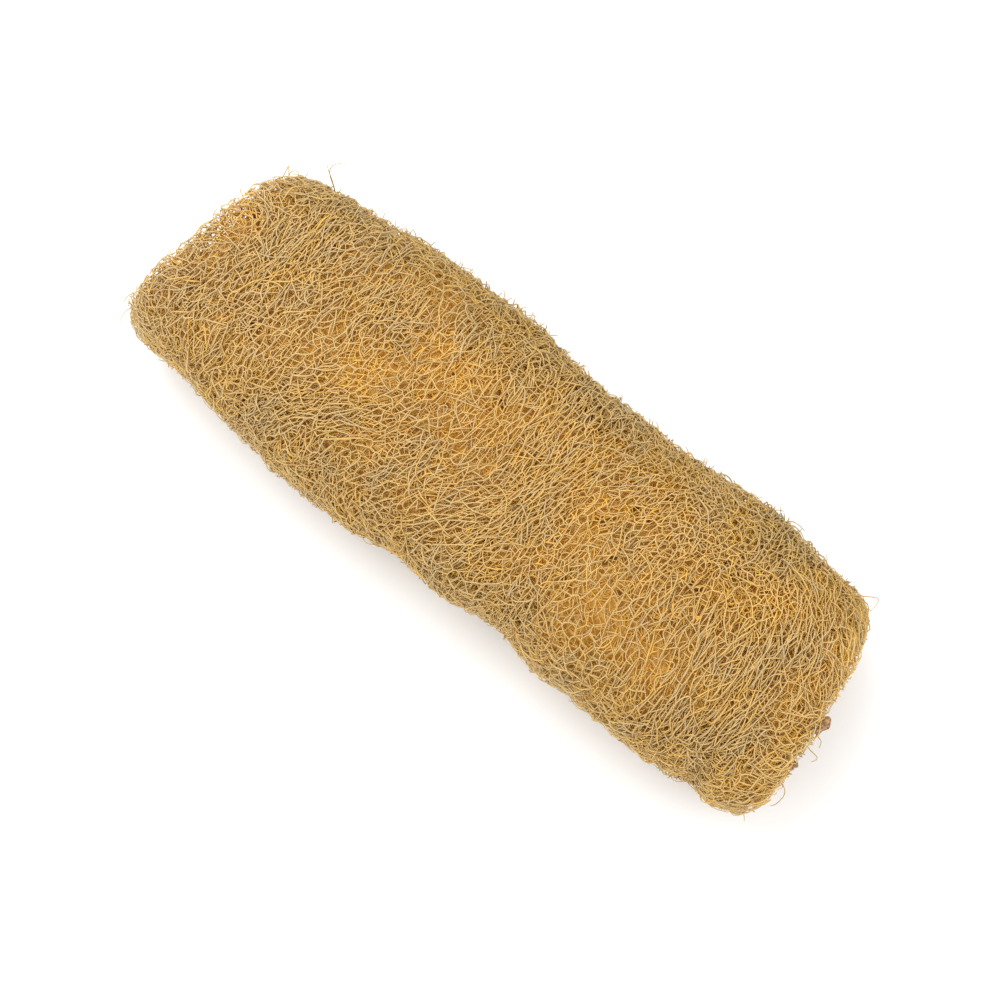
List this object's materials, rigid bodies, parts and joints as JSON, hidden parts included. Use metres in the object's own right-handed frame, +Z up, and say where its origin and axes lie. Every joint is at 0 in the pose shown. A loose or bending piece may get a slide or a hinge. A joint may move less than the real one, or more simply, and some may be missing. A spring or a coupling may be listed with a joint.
{
  "type": "natural loofah sponge",
  "caption": "Natural loofah sponge: a straw-coloured length of dried gourd fibre lying on its broad side, with slanted cut ends and seed channels running end to end.",
  "frame": {"origin": "under the middle of the sponge's box, at the level it rests on", "axes": "+X along the sponge, +Y across its width, +Z up from the side it rests on"},
  "size_m": [0.179, 0.062, 0.0442],
  "materials": {
    "fibre": "matt dry plant fibre, straw brown"
  },
  "bodies": {
    "root": {"loofah_sponge": "fibre"}
  },
  "joints": []
}
